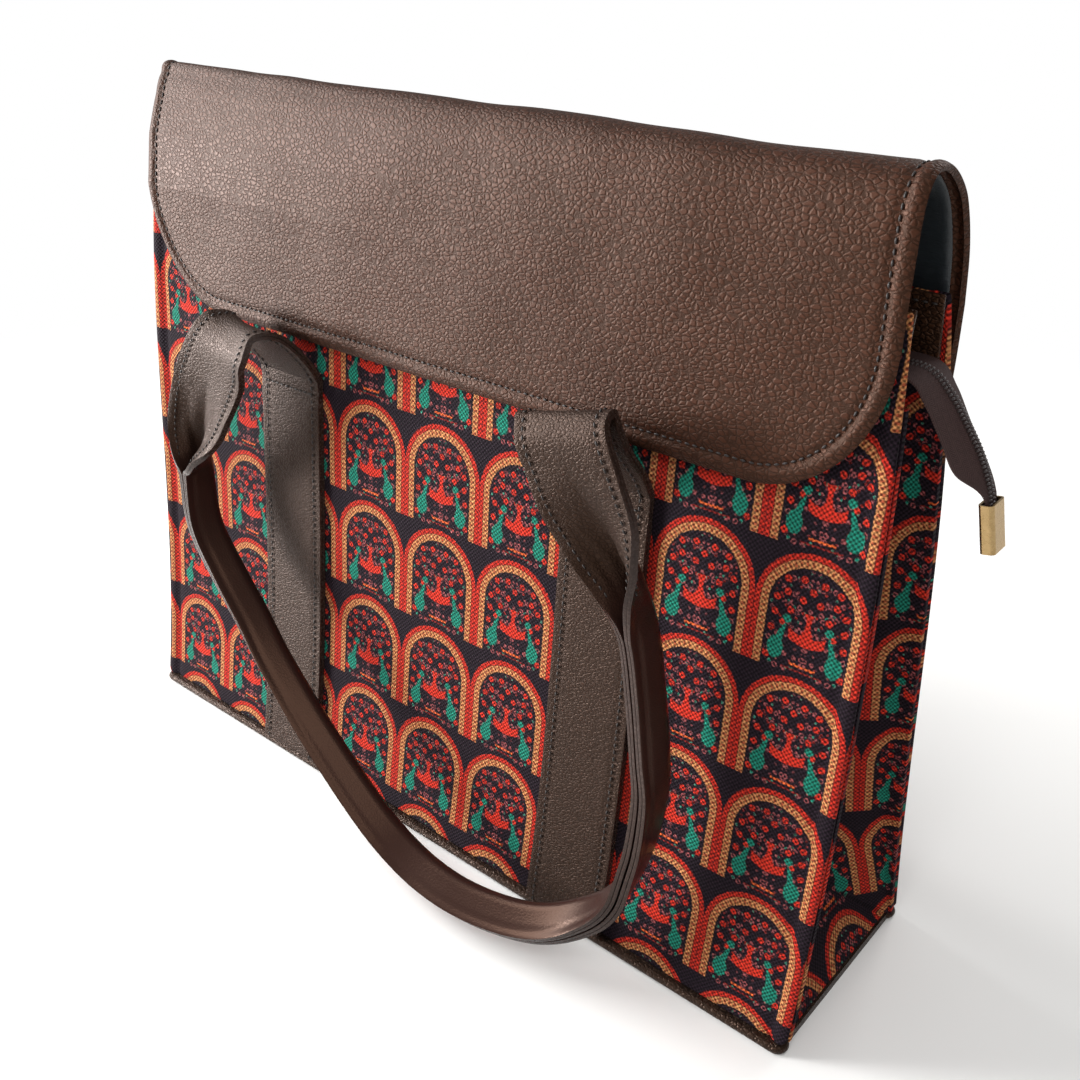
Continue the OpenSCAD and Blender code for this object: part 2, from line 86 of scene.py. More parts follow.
# A smooth curve through given stations, as the solids use
def smoothCurve(stations, steps):
    p = np.array(stations, float)
    p = np.vstack([p[0], p, p[-1]])
    out = []
    for i in range(1, len(p) - 2):
        a, b, c, d = p[i - 1:i + 3]
        for k in range(steps):
            t = k / steps
            out.append(0.5 * (2 * b + (c - a) * t + (2 * a - 5 * b + 4 * c - d) * t * t
                              + (3 * b - a - 3 * c + d) * t ** 3))
    out.append(p[-2])
    return np.array(out)


def lengthsAlong(points):
    return np.concatenate([[0], np.cumsum(np.linalg.norm(np.diff(points, axis=0), axis=1))])


# Spreads an even share over -1 to 1, closer together towards both ends
def closer(a):
    return mix(2 * a - 1, math.sin(math.pi * (a - 0.5)), 0.85)


def wobble(x, y, z, size, height):
    return height * noise.noise(Vector((x, y, z)) / size)


def toLinear(code):
    channels = [int(code[i:i + 2], 16) / 255 for i in (1, 3, 5)]
    return [c / 12.92 if c <= 0.04045 else ((c + 0.055) / 1.055) ** 2.4 for c in channels] + [1]


# Adds a node with its settings, and links or sets its inputs by number or name
def addNode(tree, kind, inputs=(), out=0, **settings):
    node = tree.nodes.new("ShaderNode" + kind)
    for key, value in settings.items():
        setattr(node, key, value)
    pairs = inputs.items() if isinstance(inputs, dict) else enumerate(inputs)
    for key, value in pairs:
        if isinstance(value, bpy.types.NodeSocket):
            tree.links.new(value, node.inputs[key])
        elif value is not None:
            node.inputs[key].default_value = value
    return node.outputs[out]


def startMaterial(name, **shader):
    material = bpy.data.materials.new(name)
    material.use_nodes = True
    tree = material.node_tree
    bsdf = tree.nodes["Principled BSDF"]
    for key, value in shader.items():
        bsdf.inputs[key.replace("_", " ")].default_value = value
    return material, tree, bsdf


# Camera at the photo's angle, lamps and floor
studio = {
    "eye": (344.92, -364.35, 408.34),
    "azimuth": 40.13,
    "elevation": 28.01,
    "lens": 40.37,
    "floorSize": 60000,
    "floorColour": "#f6f5f3",
    "floorFade": (350, 900),
    "worldColour": "#ffffff",
    "worldLight": 0.34,
    "lamps": (  # place, aim, width, watts
        ((-1700, -500, 1300), (-120, 0, 250), 1300, 48),
        ((-1600, -950, 260), (-120, 0, 290), 600, 70),
        ((700, -1500, 2000), (0, 0, 150), 1400, 21),
        ((200, 1500, 1600), (0, 0, 250), 1000, 14),
    ),
}


def setStudio():
    scene = bpy.context.scene
    scene.view_settings.view_transform = "Standard"
    az, el = math.radians(studio["azimuth"]), math.radians(studio["elevation"])
    forward = Vector((-math.sin(az) * math.cos(el), math.cos(az) * math.cos(el), -math.sin(el)))
    camera = bpy.data.objects.new("camera", bpy.data.cameras.new("camera"))
    camera.data.lens = studio["lens"]
    camera.data.sensor_width = 36
    camera.data.clip_start = 0.01
    camera.location = Vector(studio["eye"]) * mm
    camera.rotation_euler = forward.to_track_quat("-Z", "Y").to_euler()
    scene.collection.objects.link(camera)
    scene.camera = camera
    for number, (place, aim, width, watts) in enumerate(studio["lamps"]):
        lamp = bpy.data.objects.new(f"softbox{number}", bpy.data.lights.new(f"softbox{number}", "AREA"))
        lamp.data.size = width * mm
        lamp.data.energy = watts
        lamp.location = Vector(place) * mm
        lamp.rotation_euler = (Vector(aim) - Vector(place)).to_track_quat("-Z", "Y").to_euler()
        scene.collection.objects.link(lamp)
    world = bpy.data.worlds.new("studio")
    world.use_nodes = True
    background = world.node_tree.nodes["Background"]
    background.inputs["Color"].default_value = toLinear(studio["worldColour"])
    background.inputs["Strength"].default_value = studio["worldLight"]
    scene.world = world
    bm = bmesh.new()
    bmesh.ops.create_grid(bm, x_segments=1, y_segments=1, size=studio["floorSize"] * mm / 2)
    floor = finishMesh("floor", bm)
    material, tree, bsdf = startMaterial("matt white floor", Roughness=0.9, Specular_IOR_Level=0.1,
                                         Base_Color=toLinear(studio["floorColour"]))
    # Away from the bag the floor is plain white to the eye and in reflections
    path = addNode(tree, "LightPath").node
    seen = path.outputs["Is Camera Ray"]
    for ray in ("Is Glossy Ray", "Is Transmission Ray"):
        seen = addNode(tree, "Math", [seen, path.outputs[ray]], operation="MAXIMUM")
    away = addNode(tree, "VectorMath", [addNode(tree, "TexCoord", out=3)], out=1, operation="LENGTH")
    fade = addNode(tree, "MapRange", [away, *[r * mm for r in studio["floorFade"]], 0, 1],
                   interpolation_type="SMOOTHSTEP")
    glow = addNode(tree, "Emission", {"Color": toLinear("#ffffff"), "Strength": 1.0})
    amount = addNode(tree, "Math", [seen, fade], operation="MULTIPLY")
    surface = addNode(tree, "MixShader", [amount, bsdf.outputs[0], glow])
    tree.links.new(surface, tree.nodes["Material Output"].inputs["Surface"])
    floor.data.materials.append(material)
    print("studio set")


# Turns a bmesh into an object at the origin
def finishMesh(name, bm):
    mesh = bpy.data.meshes.new(name)
    bm.to_mesh(mesh)
    bm.free()
    mesh.shade_smooth()
    piece = bpy.data.objects.new(name, mesh)
    bpy.context.scene.collection.objects.link(piece)
    return piece


# A grid whose points are set by place(a, b) in mm, with chart(a, b) as its UV map in metres
def gridPiece(name, columns, rows, place, chart, values=None):
    bm = bmesh.new()
    bmesh.ops.create_grid(bm, x_segments=columns, y_segments=rows, size=0.5)
    uv = bm.loops.layers.uv.new("cloth")
    extra = bm.verts.layers.float.new("share") if values else None
    shares = {v: (v.co.x + 0.5, v.co.y + 0.5) for v in bm.verts}
    for face in bm.faces:
        for loop in face.loops:
            loop[uv].uv = Vector(chart(*shares[loop.vert])) * mm
    for v, share in shares.items():
        v.co = Vector(place(*share)) * mm
        if values:
            v[extra] = values(*share)
    return finishMesh(name, bm)


# Gives a sheet its thickness and a rounded rim
rounding = {"segments": 3, "angle": 50}


def thicken(piece, thickness, offset, rim, rimMaterial=0):
    solid = piece.modifiers.new("thickness", "SOLIDIFY")
    solid.thickness = thickness * mm
    solid.offset = offset
    solid.material_offset_rim = rimMaterial
    edge = piece.modifiers.new("rounded rim", "BEVEL")
    edge.width = rim * mm
    edge.segments = rounding["segments"]
    edge.limit_method = "ANGLE"
    edge.angle_limit = math.radians(rounding["angle"])


# One bead at each matrix, made a few at a time because a large bmesh is slow to add to
bead = {"batch": 40, "around": 6, "along": 4}


def beads(name, matrices):
    whole = bmesh.new()
    for start in range(0, len(matrices), bead["batch"]):
        few = bmesh.new()
        for matrix in matrices[start:start + bead["batch"]]:
            bmesh.ops.create_uvsphere(few, u_segments=bead["around"], v_segments=bead["along"], radius=0.5,
                                      matrix=matrix)
        mesh = bpy.data.meshes.new("few")
        few.to_mesh(mesh)
        few.free()
        whole.from_mesh(mesh)
        bpy.data.meshes.remove(mesh)
    return finishMesh(name, whole)


# Short thread stitches along lines of (point, direction, outward), in mm
stitch = {"pitch": 3.3, "length": 2.4, "width": 0.95, "height": 0.8, "lift": 0.25}


def sewStitches(name, lines, material, body):
    matrices = []
    size = Matrix.Diagonal((stitch["length"] * mm, stitch["width"] * mm, stitch["height"] * mm, 1))
    for line in lines:
        points, directions, outs = [np.array(row, float) for row in line]
        runs = lengthsAlong(points)
        for run in np.arange(stitch["pitch"] / 2, runs[-1], stitch["pitch"]):
            spot, way, out = [Vector([np.interp(run, runs, row[:, k]) for k in range(3)])
                              for row in (points, directions, outs)]
            way.normalize()
            sideways = out.cross(way).normalized()
            out = way.cross(sideways)
            turn = Matrix((way, sideways, out)).transposed().to_4x4()
            spot += out * stitch["lift"]
            matrices.append(Matrix.Translation(spot * mm) @ turn @ size)
    piece = beads(name, matrices)
    piece.data.materials.append(material)
    if body:
        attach(piece, body)
    return piece


# Printed plain-weave cloth: a coarse cotton, so the threads break the print's edges into specks.
# Places on the print are from an arch's middle line and its foot
cloth = {
    "ground": "#221820", "red": "#c83122", "deepRed": "#86221d", "cream": "#c68655", "orange": "#e06430",
    "teal": "#1f7a66", "rose": "#8f4a4c",
    "across": 45.0, "up": 49.1, "archX": 3.6, "archZ": 14.2,  # repeat of the print, and where it starts
    "spring": 26.0,  # height at which an arch begins to curve
    "bands": (16.4, 16.9, 20.0, 20.4, 22.4),  # field, line, pale band, line, red band
    "beadPitch": 2.5, "beadStrength": 0.75,
    "flowers": ((4.0, 38.0), (9.6, 31.5), (13.6, 22.5), (3.4, 30.2), (7.6, 25.0), (14.9, 4.8), (0.0, 34.2),
                (10.2, 36.4), (13.4, 28.4), (14.2, 16.0)),
    "flowerSize": 1.35, "flowerEye": 0.35, "flowerGap": 0.6,
    "speckCell": 2.3, "speckRim": (0.24, 0.36), "redUnder": 0.3, "tealOver": 0.72,
    "ringCell": 3.3, "ringRim": (0.17, 0.34),  # rims are shares of a cell
    "bowl": (12.4, 16.2), "bowlHalf": 7.2, "bowlBend": 0.036,
    "neck": (13.5, 25.6), "neckHalf": 0.9, "waist": 21.6, "neckFlare": 0.075,
    "crownAt": (11.6, 8.6), "crownHalf": (3.2, 4.4),
    "tip": (10, 19), "tipHalf": (2.0, 0.5), "tipAt": 14.6, "tipLean": 0.3,
    "dots": (("teal", (8.4, 21.2), 1.7), ("red", (10.2, 19.3), 1.1)),  # end leaf and bud, with their sizes
    "lines": (("orange", 3.9, 4.7, 5.2), ("deepRed", 1.9, 2.5, 8.2)),  # lower and upper edge, half length
    "bleed": 1.0,  # size and reach of the ragged edges
    "thread": 1.0,  # mm between threads, drawn a little coarser than the real 0.7 so that it shows
    "fleck": 0.8, "shade": (0.2, 1.2),  # threads are painted darker between them as shade, and paler on top as a painted highlight
}


def printedCloth(name, startX=0.0, startZ=0.0):
    material, tree, bsdf = startMaterial(name, Roughness=0.85, Specular_IOR_Level=0.1)
    chart = addNode(tree, "UVMap", uv_map="cloth")
    inMm = addNode(tree, "VectorMath", {0: chart, "Scale": 1000}, operation="SCALE")
    rough = addNode(tree, "TexNoise", {"Vector": inMm, "Scale": 1 / cloth["bleed"], "Detail": 1})
    jitter = addNode(tree, "Math", [rough, cloth["bleed"], -cloth["bleed"] / 2], operation="MULTIPLY_ADD")
    flat = addNode(tree, "SeparateXYZ", [inMm]).node
    # Place in one repeat: x from the arch's middle, mirrored, and z from its foot
    half = cloth["across"] / 2
    shiftX = addNode(tree, "Math", [flat.outputs[0], half - cloth["archX"] - startX], operation="ADD")
    cellX = addNode(tree, "Math", [shiftX, cloth["across"], 0], operation="WRAP")
    fromMiddle = addNode(tree, "Math", [cellX, half], operation="SUBTRACT")
    mirrored = addNode(tree, "Math", [fromMiddle], operation="ABSOLUTE")
    x = addNode(tree, "Math", [mirrored, jitter], operation="ADD")
    shiftZ = addNode(tree, "Math", [flat.outputs[1], -cloth["archZ"] - startZ], operation="ADD")
    cellZ = addNode(tree, "Math", [shiftZ, cloth["up"], 0], operation="WRAP")
    z = addNode(tree, "Math", [cellZ, jitter], operation="ADD")
    spot = addNode(tree, "CombineXYZ", [x, z, 0])
    # Distance from the arch's middle line, round the top, and beads along its bands
    field, line, pale, gapLine, red = cloth["bands"]
    overSpring = addNode(tree, "Math", [z, cloth["spring"]], operation="SUBTRACT")
    rise = addNode(tree, "Math", [overSpring, 0], operation="MAXIMUM")
    risen = addNode(tree, "CombineXYZ", [x, rise, 0])
    reach = addNode(tree, "VectorMath", [risen], out=1, operation="LENGTH")
    angle = addNode(tree, "Math", [rise, x], operation="ARCTAN2")
    straight = addNode(tree, "Math", [z, cloth["spring"]], operation="MINIMUM")
    along = addNode(tree, "Math", [angle, pale, straight], operation="MULTIPLY_ADD")
    turned = addNode(tree, "Math", [along, 2 * math.pi / cloth["beadPitch"]], operation="MULTIPLY")
    wave = addNode(tree, "Math", [turned], operation="SINE")
    beadMask = addNode(tree, "MapRange", [wave, -0.3, 0.6, 0, cloth["beadStrength"]])
    least = -9  # under every distance in the print
    layers = []  # a colour and the masks that it shows through, from the bottom up

    def within(value, low, high, soft=0.25):
        inner = addNode(tree, "MapRange", [value, low - soft, low + soft, 0, 1])
        outer = addNode(tree, "MapRange", [value, high - soft, high + soft, 1, 0])
        return addNode(tree, "Math", [inner, outer], operation="MULTIPLY")

    # Specks and rings all over the field
    inField = addNode(tree, "MapRange", [reach, field - 1, field, 1, 0])
    specks = addNode(tree, "TexVoronoi", {"Vector": spot, "Scale": 1 / cloth["speckCell"], "Randomness": 0.9})
    speck = addNode(tree, "MapRange", [specks, *cloth["speckRim"], 1, 0])
    picks = addNode(tree, "SeparateColor", [specks.node.outputs["Color"]])
    teals = addNode(tree, "Math", [picks, cloth["tealOver"]], operation="GREATER_THAN")
    reds = addNode(tree, "Math", [picks, cloth["redUnder"]], operation="LESS_THAN")
    layers += [("rose", speck, inField), ("teal", speck, inField, teals), ("deepRed", speck, inField, reds)]
    rings = addNode(tree, "TexVoronoi", {"Vector": spot, "Scale": 1 / cloth["ringCell"], "Randomness": 0.55})
    layers.append(("rose", within(rings, *cloth["ringRim"], 0.05), inField))
    # Flowers with dark eyes
    for place in cloth["flowers"]:
        far = addNode(tree, "VectorMath", [spot, (*place, 0)], out=1, operation="DISTANCE")
        layers.append(("ground", within(far, least, cloth["flowerSize"] + cloth["flowerGap"])))
        layers.append(("red", within(far, cloth["flowerEye"], cloth["flowerSize"])))
    # Urn: a boat-shaped bowl with a waisted neck
    bend = addNode(tree, "Math", [x, x], operation="MULTIPLY")
    bowl = addNode(tree, "Math", [bend, -cloth["bowlBend"], z], operation="MULTIPLY_ADD")
    layers.append(("red", within(bowl, *cloth["bowl"]), within(x, least, cloth["bowlHalf"])))
    fromWaist = addNode(tree, "Math", [z, cloth["waist"]], operation="SUBTRACT")
    flare = addNode(tree, "Math", [fromWaist, 2], operation="POWER")
    neck = addNode(tree, "Math", [flare, -cloth["neckFlare"], x], operation="MULTIPLY_ADD")
    layers.append(("red", within(neck, least, cloth["neckHalf"]), within(z, *cloth["neck"])))
    # Trees: a round crown with a leaning tip that ends in a leaf and a bud
    crown = addNode(tree, "VectorMath", [spot, (*cloth["crownAt"], 0)], operation="SUBTRACT")
    shrink = (1 / cloth["crownHalf"][0], 1 / cloth["crownHalf"][1], 0)
    crown = addNode(tree, "VectorMath", [crown, shrink], operation="MULTIPLY")
    crown = addNode(tree, "VectorMath", [crown], out=1, operation="LENGTH")
    layers.append(("teal", within(crown, least, 1, 0.08)))
    leaning = addNode(tree, "Math", [z, cloth["tipLean"], x], operation="MULTIPLY_ADD")
    fromTip = addNode(tree, "Math", [leaning, cloth["tipAt"]], operation="SUBTRACT")
    aside = addNode(tree, "Math", [fromTip], operation="ABSOLUTE")
    taper = addNode(tree, "MapRange", [z, *cloth["tip"], *cloth["tipHalf"]])
    tip = addNode(tree, "Math", [aside, taper], operation="SUBTRACT")
    layers.append(("teal", within(tip, least, 0), within(z, *cloth["tip"])))
    for code, place, size in cloth["dots"]:
        far = addNode(tree, "VectorMath", [spot, (*place, 0)], out=1, operation="DISTANCE")
        layers.append((code, within(far, least, size)))
    for code, low, high, length in cloth["lines"]:
        layers.append((code, within(z, low, high), within(x, least, length)))
    # Bands of the arch
    layers += [
        ("ground", within(reach, field, line)),
        ("cream", within(reach, line, pale)),
        ("deepRed", within(reach, line + 0.5, pale - 0.5, 0.4), beadMask),
        ("deepRed", within(reach, pale, gapLine)),
        ("red", within(reach, gapLine, red)),
        ("deepRed", within(reach, gapLine + 0.3, red - 0.2, 0.3), beadMask),
        ("ground", addNode(tree, "MapRange", [reach, red, red + 0.3, 0, 1])),
    ]
    colour = addNode(tree, "RGB")
    colour.default_value = toLinear(cloth["ground"])
    for code, shown, *masks in layers:
        for mask in masks:
            shown = addNode(tree, "Math", [shown, mask], operation="MULTIPLY")
        ink = toLinear(cloth[code])
        colour = addNode(tree, "Mix", {0: shown, 6: colour, 7: ink}, out=2, data_type="RGBA")
    # Threads over and under each other: their height gives the bump and also scales the colour, as painted
    # shade between the threads and a painted highlight on their tops, broken by random flecks
    turns = addNode(tree, "VectorMath", {0: inMm, "Scale": math.pi / cloth["thread"]}, operation="SCALE")
    waves = addNode(tree, "SeparateXYZ", [turns]).node
    warp = addNode(tree, "Math", [waves.outputs[0]], operation="SINE")
    weft = addNode(tree, "Math", [waves.outputs[1]], operation="SINE")
    weave = addNode(tree, "Math", [warp, weft], operation="MULTIPLY")
    lift = addNode(tree, "Math", [weave, 0.5, 0.5], operation="MULTIPLY_ADD")
    flecks = addNode(tree, "TexNoise", {"Vector": inMm, "Scale": 1 / cloth["fleck"], "Detail": 1})
    # Random flecks times the weave's painted shade and highlight
    fleckedWeaveShade = addNode(tree, "Math", [flecks, lift], operation="MULTIPLY")
    shade = addNode(tree, "MapRange", [fleckedWeaveShade, 0.06, 0.5, *cloth["shade"]])
    shaded = addNode(tree, "VectorMath", {0: colour, "Scale": shade}, operation="SCALE")
    tree.links.new(shaded, bsdf.inputs["Base Color"])
    bump = addNode(tree, "Bump", {"Strength": 0.8, "Distance": 0.35 * mm, "Height": lift})
    tree.links.new(bump, bsdf.inputs["Normal"])
    return material


# Embossed leather: a rolled-in pebble grain with creases between the pebbles and a waxed shine; the creases
# are painted darker as shade
leather = {"drift": 0.7, "driftSize": 1.5, "groove": 0.26,  # shares of a pebble
           "fine": 0.22, "fineSize": 0.45, "stretch": 0.68,  # pebbles are longer across the bag
           "creaseShade": 0.75, "patchy": 0.3, "patch": 38, "dull": 0.08, "gripShine": 0.28, "gripFlat": 0.85,
           "tint": "#e6b294"}


def pebbledLeather(name, dark, light, pebble, depth, roughness, gripDark=None):
    material, tree, bsdf = startMaterial(name, IOR=1.5, Specular_IOR_Level=0.36,
                                         Specular_Tint=toLinear(leather["tint"]))
    place = addNode(tree, "TexCoord", out=3)
    inMm = addNode(tree, "VectorMath", {0: place, "Scale": 1000}, operation="SCALE")
    swing = leather["driftSize"] * pebble
    drift = addNode(tree, "TexNoise", {"Vector": inMm, "Scale": 1 / swing, "Detail": 2}, out=1)
    most = (leather["drift"] * pebble,) * 3
    bent = addNode(tree, "VectorMath", [drift, most, inMm], operation="MULTIPLY_ADD")
    across = addNode(tree, "VectorMath", [bent, (leather["stretch"], 1, 1)], operation="MULTIPLY")
    edges = addNode(tree, "TexVoronoi", {"Vector": across, "Scale": 1 / pebble}, feature="DISTANCE_TO_EDGE")
    pebbles = addNode(tree, "MapRange", [edges, 0, leather["groove"], 0, 1], interpolation_type="SMOOTHSTEP")
    grain = leather["fineSize"] * pebble
    fine = addNode(tree, "TexNoise", {"Vector": inMm, "Scale": 1 / grain, "Detail": 3})
    height = addNode(tree, "Math", [fine, leather["fine"], pebbles], operation="MULTIPLY_ADD")
    cloud = addNode(tree, "TexNoise", {"Vector": inMm, "Scale": 1 / leather["patch"], "Detail": 3})
    patches = addNode(tree, "Math", [cloud, leather["patchy"]], operation="MULTIPLY")
    # Colour: painted shade in the creases between the pebbles, with random darker and lighter patches
    shadeAndMottle = addNode(tree, "Math", [pebbles, leather["creaseShade"], patches], operation="MULTIPLY_ADD")
    colour = addNode(tree, "Mix", {0: shadeAndMottle, 6: toLinear(dark), 7: toLinear(light)}, out=2, data_type="RGBA")
    shine = addNode(tree, "MapRange", [pebbles, 0, 1, roughness + leather["dull"], roughness])
    if gripDark:  # rubbed smooth and dark where the strap is folded into a grip
        smooth = addNode(tree, "Attribute", out=2, attribute_name="share")
        colour = addNode(tree, "Mix", {0: smooth, 6: colour, 7: toLinear(gripDark)}, out=2, data_type="RGBA")
        shine = addNode(tree, "Mix", {0: smooth, 2: shine, 3: leather["gripShine"]})
        rough = addNode(tree, "Math", [smooth, -leather["gripFlat"], 1], operation="MULTIPLY_ADD")
        height = addNode(tree, "Math", [height, rough], operation="MULTIPLY")
    tree.links.new(colour, bsdf.inputs["Base Color"])
    tree.links.new(shine, bsdf.inputs["Roughness"])
    bump = addNode(tree, "Bump", {"Strength": 0.8, "Distance": depth * mm, "Height": height})
    tree.links.new(bump, bsdf.inputs["Normal"])
    return material


# Satin lining: long floats of polyester yarn, so it is smooth across and shines along the floats
def satinLining():
    material, tree, bsdf = startMaterial("polyester satin", Roughness=0.42, Sheen_Weight=0.3,
                                         Sheen_Roughness=0.35)
    place = addNode(tree, "TexCoord", out=3)
    inMm = addNode(tree, "VectorMath", {0: place, "Scale": 1000}, operation="SCALE")
    stretch = addNode(tree, "VectorMath", [inMm, (0.25, 2.2, 2.2)], operation="MULTIPLY")
    yarn = addNode(tree, "TexNoise", {"Vector": stretch, "Scale": 1.2, "Detail": 2})
    colour = addNode(tree, "Mix", {0: yarn, 6: toLinear("#14181b"), 7: toLinear("#2b3236")}, out=2,
                     data_type="RGBA")
    tree.links.new(colour, bsdf.inputs["Base Color"])
    folds = addNode(tree, "TexNoise", {"Vector": inMm, "Scale": 1 / 14, "Detail": 2})
    height = addNode(tree, "Math", [folds, 6, yarn], operation="MULTIPLY_ADD")
    bump = addNode(tree, "Bump", {"Strength": 0.5, "Distance": 0.3 * mm, "Height": height})
    tree.links.new(bump, bsdf.inputs["Normal"])
    return material


# Zip tape: a tight herringbone of polyester yarn, matt with a faint rib along its length; the rib valleys are
# painted darker as shade
def wovenTape():
    material, tree, bsdf = startMaterial("woven polyester tape", Roughness=0.75, Specular_IOR_Level=0.2)
    chart = addNode(tree, "UVMap", uv_map="cloth")
    inMm = addNode(tree, "VectorMath", {0: chart, "Scale": 1000}, operation="SCALE")
    flat = addNode(tree, "SeparateXYZ", [inMm]).node
    zig = addNode(tree, "Math", [flat.outputs[0], 1.6], operation="PINGPONG")
    slant = addNode(tree, "Math", [flat.outputs[1], zig], operation="ADD")
    turns = addNode(tree, "Math", [slant, 2 * math.pi / 0.9], operation="MULTIPLY")
    rib = addNode(tree, "Math", [turns], operation="SINE")
    lift = addNode(tree, "Math", [rib, 0.5, 0.5], operation="MULTIPLY_ADD")
    mottle = addNode(tree, "TexNoise", {"Vector": inMm, "Scale": 1 / 1.5, "Detail": 2})
    patches = addNode(tree, "Math", [mottle, 0.6], operation="MULTIPLY")
    # Colour: painted shade in the valleys between the ribs and paler rib tops as painted highlight, with
    # random mottle
    shadeAndMottle = addNode(tree, "Math", [lift, 0.5, patches], operation="MULTIPLY_ADD")
    colour = addNode(tree, "Mix", {0: shadeAndMottle, 6: toLinear("#271b1a"), 7: toLinear("#4a3735")}, out=2,
                     data_type="RGBA")
    tree.links.new(colour, bsdf.inputs["Base Color"])
    bump = addNode(tree, "Bump", {"Strength": 0.5, "Distance": 0.2 * mm, "Height": lift})
    tree.links.new(bump, bsdf.inputs["Normal"])
    return material


# Small plain finishes with a slight unevenness: thread, moulded nylon, painted strap edge, plated brass
def smallFinish(name, dark, light, roughness, grain, metallic=0.0, specular=0.5):
    material, tree, bsdf = startMaterial(name, Metallic=metallic, Specular_IOR_Level=specular)
    place = addNode(tree, "TexCoord", out=3)
    inMm = addNode(tree, "VectorMath", {0: place, "Scale": 1000}, operation="SCALE")
    mottle = addNode(tree, "TexNoise", {"Vector": inMm, "Scale": 1 / grain, "Detail": 3})
    colour = addNode(tree, "Mix", {0: mottle, 6: toLinear(dark), 7: toLinear(light)}, out=2,
                     data_type="RGBA")
    tree.links.new(colour, bsdf.inputs["Base Color"])
    shine = addNode(tree, "MapRange", [mottle, 0.3, 0.7, roughness - 0.06, roughness + 0.08])
    tree.links.new(shine, bsdf.inputs["Roughness"])
    bump = addNode(tree, "Bump", {"Strength": 0.2, "Distance": 0.05 * mm, "Height": mottle})
    tree.links.new(bump, bsdf.inputs["Normal"])
    return material


finishes = {
    "print": printedCloth("printed cotton"),
    "sidePrint": printedCloth("printed cotton side", 9.0, 6.0),
    "flap": pebbledLeather("embossed faux leather", "#1a0d07", "#3a2016", 1.8, 0.2, 0.5),
    "strap": pebbledLeather("embossed faux leather strap", "#120b08", "#291d17", 1.3, 0.18, 0.45, "#281916"),
    "base": pebbledLeather("embossed faux leather base", "#0f0b09", "#2e231d", 1.5, 0.35, 0.38),
    "facing": pebbledLeather("embossed faux leather facing", "#150c08", "#3a2519", 1.6, 0.35, 0.38),
    "satin": satinLining(),
    "tape": wovenTape(),
    "thread": smallFinish("polyester thread", "#120d0b", "#2c221e", 0.6, 0.5),
    "coil": smallFinish("moulded nylon", "#201817", "#3d302e", 0.35, 0.8),
    "edge": smallFinish("painted leather edge", "#1e1512", "#43342e", 0.25, 1.2, specular=0.2),
    "brass": smallFinish("plated brass", "#8f764c", "#c4a678", 0.27, 2.0, 1.0),
}
print("finishes made:", len(finishes))

setStudio()


def dress(piece, finish, slot, body, *nodes):
    if piece.data.materials:
        piece.data.materials[0] = finishes[finish]
    else:
        piece.data.materials.append(finishes[finish])
    if body:
        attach(piece, body)
    if nodes:
        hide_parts(*nodes)


# Solids that stay as they are get only their finish
def dressSolids(finish, *nodes):
    for node in nodes:
        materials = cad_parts[node].data.materials
        materials.clear()
        materials.append(finishes[finish])


# Panels: stiffened cloth curved in to the mouth, with a raised welt outside the side seam
panel = {"columns": 90, "rows": 110, "corner": 4, "welt": 1.1, "weltAt": 3, "weltWidth": 3,
         "seamAt": 8.5, "seamWidth": 1.2, "soft": 0.7, "softSize": 70, "softEdge": 20}


def panelSpot(a, b):
    over = max(abs(closer(a)) * halfWidth(0) - halfWidth(0) + panel["corner"], 0) / panel["corner"]
    foot = bag["foot"] + panel["corner"] * (1 - math.sqrt(max(1 - over * over, 0)))
    z = mix(foot, bag["height"], b)
    x = halfWidth(z) * closer(a)
    inward = halfWidth(z) - abs(x)
    raised = math.exp(-((inward - panel["weltAt"]) / panel["weltWidth"]) ** 2)
    pressed = math.exp(-((inward - panel["seamAt"]) / panel["seamWidth"]) ** 2)
    soft = wobble(x, 0, z, panel["softSize"], panel["soft"]) * min(inward / panel["softEdge"], 1) * (1 - b)
    return x, -halfDepth(z) - panel["welt"] * (raised - pressed) - soft, z


def makePanels():
    for name, node, turn in (("frontPanelCloth", "front_panel", 1), ("backPanelCloth", "back_panel", -1)):
        def place(a, b):
            x, y, z = panelSpot(a, b)
            return turn * x, turn * y, z

        def chart(a, b):
            x, y, z = panelSpot(a, b)
            return x, slopeRun(z)

        piece = gridPiece(name, panel["columns"], panel["rows"], place, chart)
        thicken(piece, bag["cloth"], -1, 0.9)
        dress(piece, "print", "printed_cloth", "bag", node)
    print("panels made")


# Sides: one strip each, folded inwards on a crease that splits at the foot round a flat triangle
side = {"foldTop": 50, "top": 264, "crease": 3, "seam": 8, "footSeam": 2, "ease": 0.3, "softenings": 3,
        "rows": 90, "flange": 5, "wing": 16, "facet": 6}  # rows, and columns in each part of the fold


def sideLine(z):
    offset = bag["cloth"] * 1.5 + bag["gap"]
    y, low = halfDepth(z) - offset, halfDepth(bag["foot"]) - offset

    def foldDepth(height):
        return math.sqrt(max(low ** 2 - (halfDepth(height) - offset) ** 2, 0))

    rise = min((z - bag["foot"]) / (side["foldTop"] - bag["foot"]), 1)
    seamX = halfWidth(z) - mix(side["footSeam"], side["seam"], rise)
    facetY = mix(y - side["crease"] / 2, side["crease"] / 2, rise)
    depth = foldDepth(side["foldTop"]) * rise if rise < 1 else foldDepth(z)
    facetX = seamX - side["crease"] / 2 - depth
    edge = halfWidth(z) - side["ease"]
    return [(edge, -y), (seamX, -y), (facetX, -facetY), (facetX, facetY), (seamX, y), (edge, y)]


